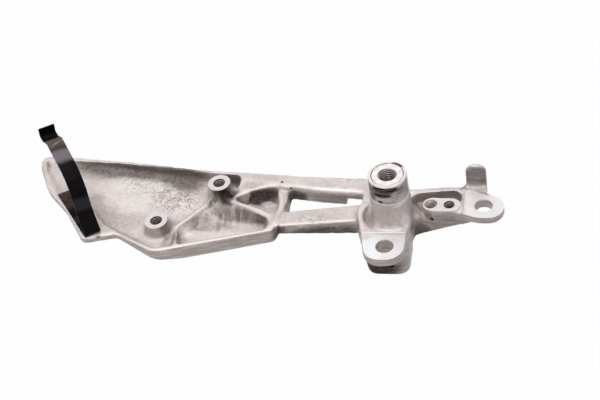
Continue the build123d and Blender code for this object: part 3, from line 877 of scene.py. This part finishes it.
# Threads and wire: crests, an oily tint, and the painted shade of their roots and depths
THREAD_CREST = colour(0.62, 0.57, 0.55)
THREAD_ROOT = colour(0.006, 0.005, 0.004)
THREAD_OIL = colour(0.25, 0.215, 0.20)
WIRE_CREST = colour(0.95, 0.90, 0.88)
WIRE_ROOT = colour(0.06, 0.05, 0.045)

PAINT_BLACK = colour(0.004, 0.003, 0.0035)
PAINT_WORN = colour(0.008, 0.006, 0.0065)
# Painted sheen on the strap, strong and faint
PAINTED_SHEEN_GREY = colour(0.27, 0.24, 0.265)
PAINTED_FAINT_SHEEN = colour(0.12, 0.11, 0.125)
RUBBED_DARK = colour(0.105, 0.082, 0.076)
RUBBED_BROWN = colour(0.15, 0.12, 0.115)
SCRATCH_TAN = colour(0.50, 0.42, 0.36)
RUST = colour(0.085, 0.06, 0.052)

FLOOR_GREY = colour(0.55, 0.54, 0.53)
WARM_WHITE = colour(1.0, 0.985, 0.97)


# Materials

def new_material(name):
    """A material, its empty tree, and the place of each point on its object."""
    material = bpy.data.materials.new(name)
    t = Tree(material)
    return material, t, t.add("TexCoord").outputs["Object"]


def cast_metal(t, place, up, cloud, mottle):
    """The bare cast skin: clouded and mottled, with its walls, but not the hub's, darkened in drawn lines as
    mould lines and painted wall shade.
    """
    base = t.mix(t.ramp(cloud, 0.35, 0.68), CAST_GREY, CAST_PALE)
    base = t.mix(t.fall(mottle, 0.38, 0.64, 0.20), base, CAST_MOTTLE)
    drawn = t.noise(t.stretched(place, (0.08, 0.08, 1.0)), 900.0, 3.0)
    walls = t.times(t.fall(up, 0.15, 0.85), t.rest(t.near(place, *HUB, 0.2)))
    # Walls darkened in drawn lines: mould lines and painted wall shade
    return t.mix(t.times(walls, t.fall(drawn, 0.42, 0.62, 0.52)), base, WALL_LINES_AND_SHADE)


def cast_shade_and_grime(t, place, ragged, up, mottle, ridge, clean):
    """Painted shade and grime in patches and in hollows, broken into streaks beside the right boss, and kept
    off up-facing ridges, painted highlights and clean patches.
    """
    # Hollows are darkened by painted shade and grime
    open_hollow = t.most(t.fall(up, 0.90, 0.97), t.fall(t.height(place), HOLLOW_FOOT, HOLLOW_TOP))
    hollow = t.times(t.mark("hollow"), open_hollow)
    shade_and_grime = t.most(t.patches(ragged, SHADE_AND_GRIME), t.times(hollow, 0.38))
    shade_and_grime = t.times(shade_and_grime, t.ramp(mottle, 0.36, 0.60, 1.0, 0.86))
    streaks = t.noise(t.stretched(place, (1.0, 0.12, 0.12)), 280.0, 3.0)
    streak_gaps = t.times(t.near(place, *STREAKED), t.fall(streaks, 0.40, 0.60, 0.40))
    # Up-facing ridges are kept free of the painted shade and grime
    rubbed = t.times(t.ramp(ridge, 0.2, 0.8, 0.0, 0.75), t.ramp(up, 0.5, 0.85))
    rubbed = t.times(rubbed, t.rest(t.near(place, *SHELTERED, 0.15)))
    shade_and_grime = t.times(shade_and_grime, t.rest(streak_gaps))
    return t.times(shade_and_grime, t.rest(t.most(clean, rubbed)))


def cast_pits(t, place):
    """Clusters of fine and of very fine pits."""
    pits = t.most(t.specks(place, 560.0, 0.27), t.times(t.specks(place, 1150.0, 0.33), 0.75))
    return t.times(pits, t.ramp(t.noise(place, 260.0, 2.0), 0.44, 0.56))


def cast_aluminium():
    """The cast skin, with painted shade and grime, painted highlights and wear on ridges and in patches,
    pits, stains and small painted shadows.
    """
    material, t, place = new_material("cast_aluminium")
    up = t.facing_up()
    ridge = t.mark("ridge")
    cloud = t.noise(place, 45.0, 5.0)
    mottle = t.noise(place, 420.0)
    grain = t.noise(place, 1500.0, 3.0)
    ragged = t.wavered(place, 160.0, 2.5)
    # Painted highlights and clean patches lighten the skin and keep the shade and grime off
    clean = t.patches(ragged, HIGHLIGHTS_AND_CLEAN)
    shade_and_grime = cast_shade_and_grime(t, place, ragged, up, mottle, ridge, clean)
    pitted = t.most(t.patches(ragged, PITTED, 0.7), 0.05)
    pits = t.times(cast_pits(t, place), pitted)
    stains_and_shadows = t.patches(place, STAINS_AND_SHADOWS, 0.3)
    # Up-facing ridges are lightened: painted highlights and worn edges
    edge = t.times(t.ramp(ridge, 0.35, 1.0, 0.0, 0.6), t.ramp(up, 0.2, 0.7))
    base = cast_metal(t, place, up, cloud, mottle)
    base = t.mix(edge, base, RIDGE_HIGHLIGHT_AND_WEAR)
    base = t.mix(shade_and_grime, base, SHADE_AND_GRIME_BROWN)
    # Painted highlights and clean patches lighten the skin
    base = t.mix(t.times(clean, 0.8), base, HIGHLIGHT_AND_CLEAN_PALE)
    base = t.mix(t.times(pitted, t.fall(mottle, 0.42, 0.60, 0.38)), base, PITTED_SKIN)
    base = t.mix(pits, base, PIT_DIRT)
    # Stains, and painted black shadow in a notch and under the right boss
    base = t.mix(stains_and_shadows, base, STAIN_AND_SHADOW_BLACK)
    dirt = t.most(t.most(shade_and_grime, stains_and_shadows), pits)
    relief = t.math("ADD", grain, t.times(mottle, 1.5))
    relief = t.math("SUBTRACT", relief, t.times(pits, 1.5))
    t.surface(
        Base_Color=base,
        Roughness=t.most(t.clouded(cloud, 0.34, 0.50), t.dulled(dirt, 0.0, 0.8)),
        Normal=t.bump(relief, 0.5, 0.25 * MM),
        Specular_IOR_Level=t.dulled(dirt, 0.5, 0.05),
        Metallic=t.dulled(dirt, 0.3, 0.03),
    )
    return material


def machined_aluminium():
    """Milled faces: bright, finely lined, and faded where they run into the skin."""
    material, t, place = new_material("machined_aluminium")
    cloud = t.noise(place, 90.0)
    cuts = t.noise(t.stretched(place, (1.0, 0.08, 1.0), (0, 0, 25)), 2600.0, 2.0)
    faded = t.patches(t.wavered(place, 200.0, 2.0), MACHINED_EDGES)
    base = t.mix(t.ramp(cloud, 0.4, 0.75), MACHINED_PALE, MACHINED_GREY)
    base = t.mix(faded, base, MACHINED_FADED)
    t.surface(
        Base_Color=base,
        Roughness=t.clouded(cloud, 0.40, 0.52),
        Normal=t.bump(cuts, 0.25, 0.05 * MM),
        Metallic=0.3,
    )
    return material


def turned_aluminium():
    """The pivot boss's turned top: fine rings, a side painted darker than the top as shade, dark stains round
    its side and dirt in the joint ring.
    """
    material, t, place = new_material("turned_aluminium")
    side = t.fall(t.facing_up(), 0.3, 0.8)
    ragged = t.wavered(place, 170.0, 1.1)
    streaks = t.noise(t.stretched(place, (1.0, 1.0, 7.0)), 110.0)
    rings = t.noise(t.stretched(place, (0.02, 0.02, 1.0)), 2600.0, 2.0)
    stained = t.times(t.patches(ragged, COLLAR_STAINS, 0.22), t.ramp(streaks, 0.40, 0.56, 1.0, 0.75))
    from_axis = t.vector("LENGTH", t.stretched(place, (1.0, 1.0, 0.0)))
    joint = t.fall(from_axis, INSERT_R + SEAM, INSERT_R + JOINT_SPREAD)
    joint = t.times(joint, t.ramp(t.noise(place, 120.0, 2.0), 0.35, 0.55))
    joint = t.most(joint, t.near(place, *JOINT_PLUG, 0.3))
    # The side is painted darker than the top, as shade, in streaks
    shaded_side = t.mix(t.ramp(streaks, 0.40, 0.60), COLLAR_DARK, COLLAR_PALE)
    shaded_side = t.mix(stained, shaded_side, COLLAR_STAIN)
    top = t.mix(t.ramp(t.noise(place, 300.0), 0.4, 0.65), COLLAR_TOP_PALE, COLLAR_TOP_GREY)
    base = t.mix(side, top, shaded_side)
    base = t.mix(t.times(joint, 0.9), base, JOINT_DIRT)
    dirt = t.most(t.times(stained, side), joint)
    t.surface(
        Base_Color=base,
        Roughness=t.clouded(streaks, 0.3, 0.45),
        Normal=t.bump(rings, 0.4, 0.1 * MM),
        Specular_IOR_Level=t.dulled(dirt, 0.5, 0.03),
        Metallic=t.dulled(dirt, 0.3, 0.0),
    )
    return material


def turned_steel():
    material, t, place = new_material("turned_steel")
    cloud = t.noise(place, 300.0)
    base = t.mix(t.ramp(cloud, 0.4, 0.7), STEEL_GREY, STEEL_PALE)
    t.surface(Base_Color=base, Roughness=t.clouded(cloud, 0.28, 0.4), Metallic=0.6)
    return material


def threaded_metal(name, crest, shade):
    """Thread walls, oily in patches, with painted shade in their roots and depths."""
    material, t, place = new_material(name)
    cloud = t.noise(place, 500.0)
    bright = t.mix(t.ramp(cloud, 0.35, 0.7, 0.0, 0.4), crest, THREAD_OIL)
    # Painted shade in the roots and deeper in the hole
    base = t.mix(t.ramp(t.mark("root"), 0.15, 0.75), bright, shade)
    t.surface(Base_Color=base, Roughness=t.clouded(cloud, 0.3, 0.45), Metallic=0.4)
    return material


def stripe(t, length, low, high, soft):
    """1 between two lengths, in millimetres, with soft ends."""
    rise = t.ramp(length, (low - soft) * MM, (low + soft) * MM)
    return t.times(rise, t.fall(length, (high - soft) * MM, (high + soft) * MM))


def black_paint():
    """Satin black, with painted sheen in two bands along the strap and rubbed brown in another, a pale
    scratch and a rusty foot.
    """
    material, t, place = new_material("black_paint")
    cloud = t.noise(place, 220.0)
    ragged = t.wavered(place, 300.0, 0.7)
    length = t.vector("DOT_PRODUCT", ragged, STRAP_ALONG)
    painted_sheen = stripe(t, length, *PAINTED_SHEEN_BAND)
    rubbed = stripe(t, length, *RUBBED_BAND)
    faint_sheen = stripe(t, length, *FAINT_PAINTED_SHEEN_BAND)
    across = t.vector("DOT_PRODUCT", place, SCRATCH_ACROSS)
    off = t.math("ABSOLUTE", t.math("SUBTRACT", across, SCRATCH_PLACE))
    line = t.times(t.fall(off, SCRATCH_FULL, SCRATCH_FADED), t.near(place, *SCRATCHED, 0.2))
    line = t.times(line, t.ramp(t.noise(place, 700.0), 0.42, 0.55))
    rusty = t.times(t.near(ragged, *RUSTY, 0.3), t.ramp(cloud, 0.36, 0.56, 0.35, 1.0))
    brown = t.mix(t.ramp(cloud, 0.4, 0.65), RUBBED_DARK, RUBBED_BROWN)
    base = t.mix(t.ramp(cloud, 0.4, 0.75), PAINT_BLACK, PAINT_WORN)
    # Painted sheen, where the strap's bend would catch the light
    base = t.mix(t.times(painted_sheen, 0.9), base, PAINTED_SHEEN_GREY)
    base = t.mix(rubbed, base, brown)
    base = t.mix(t.times(faint_sheen, 0.30), base, PAINTED_FAINT_SHEEN)
    base = t.mix(line, base, SCRATCH_TAN)
    base = t.mix(rusty, base, RUST)
    t.surface(Base_Color=base, Roughness=t.clouded(cloud, 0.34, 0.48), Specular_IOR_Level=0.05)
    return material


def seen_white(t):
    """1 for rays from the camera and from glossy or clear surfaces, which see white, or else 0."""
    path = t.add("LightPath")
    seen = t.most(path.outputs["Is Camera Ray"], path.outputs["Is Glossy Ray"])
    return t.most(seen, path.outputs["Is Transmission Ray"])


def pale_floor():
    """Grey to the light that it throws back, and nearly all white to the camera."""
    material = bpy.data.materials.new("floor")
    t = Tree(material)
    diffuse = t.add("BsdfDiffuse")
    t.feed(diffuse.inputs["Color"], FLOOR_GREY)
    white = t.add("Emission")
    t.feed(white.inputs["Strength"], 1.0)
    both = t.add("MixShader")
    t.feed(both.inputs[0], t.times(seen_white(t), FLOOR_WHITENESS))
    t.feed(both.inputs[1], diffuse.outputs[0])
    t.feed(both.inputs[2], white.outputs[0])
    t.end(both)
    return material


def studio():
    """Plain soft light all round, and white for the camera."""
    world = bpy.data.worlds.new("studio")
    t = Tree(world)
    background = t.add("Background")
    strength = t.math("MULTIPLY_ADD", seen_white(t), 1.0 - WORLD_LIGHT, WORLD_LIGHT)
    t.feed(background.inputs["Color"], WARM_WHITE)
    t.feed(background.inputs["Strength"], strength)
    t.end(background, "OutputWorld")
    return world


# Dressing

def wear(obj, *materials):
    obj.data.materials.clear()
    for material in materials:
        obj.data.materials.append(material)


def dress(obj, replaced=None):
    """Let a piece ride on the casting's body, and hide the imported part that it replaces."""
    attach(obj, "root")
    if replaced:
        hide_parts(replaced)


def show_machined(obj):
    """Give the cut faces the second material, and keep them flat."""
    for face in obj.data.polygons:
        height = face.center.z
        cut = any(abs(height - machined) < CUT_AT_HEIGHT for machined in (LUG_FACE, BOSS_FACE, TWIN_FACE))
        face.material_index = 1 if cut and face.normal.z > CUT_LEVEL else 0
        face.use_smooth = face.material_index == 0


def show_thread(obj):
    """Give the insert's thread the second material."""
    for face in obj.data.polygons:
        inside = face.center.xy.length < PIVOT_MAJOR_R + THREAD_MARGIN
        face.material_index = 1 if inside and face.center.z < PIVOT_TOP - THREAD_START else 0


# The casting
casting = hanger_casting()
skin = skin_marks(casting)
cut_away(casting, facing_tools())
cut_away(casting, drills())
keep_marks(casting, skin)
mark_sharp(casting, CRISP)
wear(casting, cast_aluminium(), machined_aluminium())
show_machined(casting)
dress(casting, "hanger")

# The turned top of the pivot boss, the two inserts, and the threads of the tapped holes
turned = turned_aluminium()
steel = turned_steel()
threaded = threaded_metal("threaded_metal", THREAD_CREST, THREAD_ROOT)
coiled = threaded_metal("coiled_wire", WIRE_CREST, WIRE_ROOT)
collar = pivot_collar()
insert = pivot_insert()
coil = wire_coil()
for obj, materials, body_slot, replaced in (
    (collar, (turned,), "cast_aluminium", None),
    (insert, (steel, threaded), "insert_steel", "pivot_insert"),
    (coil, (coiled,), "insert_steel", "wire_thread_insert"),
):
    mark_sharp(obj, CRISP)
    wear(obj, *materials)
    dress(obj, replaced)
show_thread(insert)
for row in TAPPED:
    hole = threaded_hole(*row)
    mark_sharp(hole, CRISP_THREAD)
    wear(hole, threaded)
    dress(hole)

# The strap and its rivet
paint = black_paint()
wear(nodes["spring_strap"], paint)
wear(nodes["strap_rivet"], paint)
ease_edges(nodes["spring_strap"])

# The floor lies on the table's plane, under the lowest points of the solids
lowest = min(TABLE_UP.dot(v.co) for o in nodes.values() for v in o.data.vertices)
corners = [(x * FLOOR_REACH, y * FLOOR_REACH, 0) for x, y in ((-1, -1), (1, -1), (1, 1), (-1, 1))]
floor_mesh = bpy.data.meshes.new("floor")
floor_mesh.from_pydata(corners, [], [(0, 1, 2, 3)])
floor_mesh.materials.append(pale_floor())
floor = new_object("floor", floor_mesh)
tilt = TABLE_UP.to_track_quat("Z", "Y").to_matrix().to_4x4()
floor.matrix_world = Matrix.Translation(TABLE_UP * (lowest - FLOOR_GAP)) @ tilt

# The lights
bpy.context.scene.world = studio()
lamp_data = bpy.data.lights.new("overhead", "AREA")
lamp_data.shape = "RECTANGLE"
lamp_data.size, lamp_data.size_y = OVERHEAD_SIZE
lamp_data.energy = OVERHEAD_POWER
lamp = new_object("overhead", lamp_data)
lamp.location = OVERHEAD_PLACE
lamp.rotation_euler = (OVERHEAD_PLACE - OVERHEAD_AIM).to_track_quat("Z", "Y").to_euler()

# The camera
camera_data = bpy.data.cameras.new("camera")
camera_data.sensor_fit = "HORIZONTAL"
camera_data.sensor_width = CAMERA_SENSOR
camera_data.lens = CAMERA_LENS
camera_data.clip_start = CAMERA_NEAREST
camera = new_object("camera", camera_data)
turn = Matrix((CAMERA_RIGHT, CAMERA_UP, CAMERA_BACK)).transposed()
camera.matrix_world = Matrix.Translation(CAMERA_PLACE) @ turn.to_4x4()
bpy.context.scene.camera = camera
bpy.context.scene.view_settings.view_transform = "Standard"
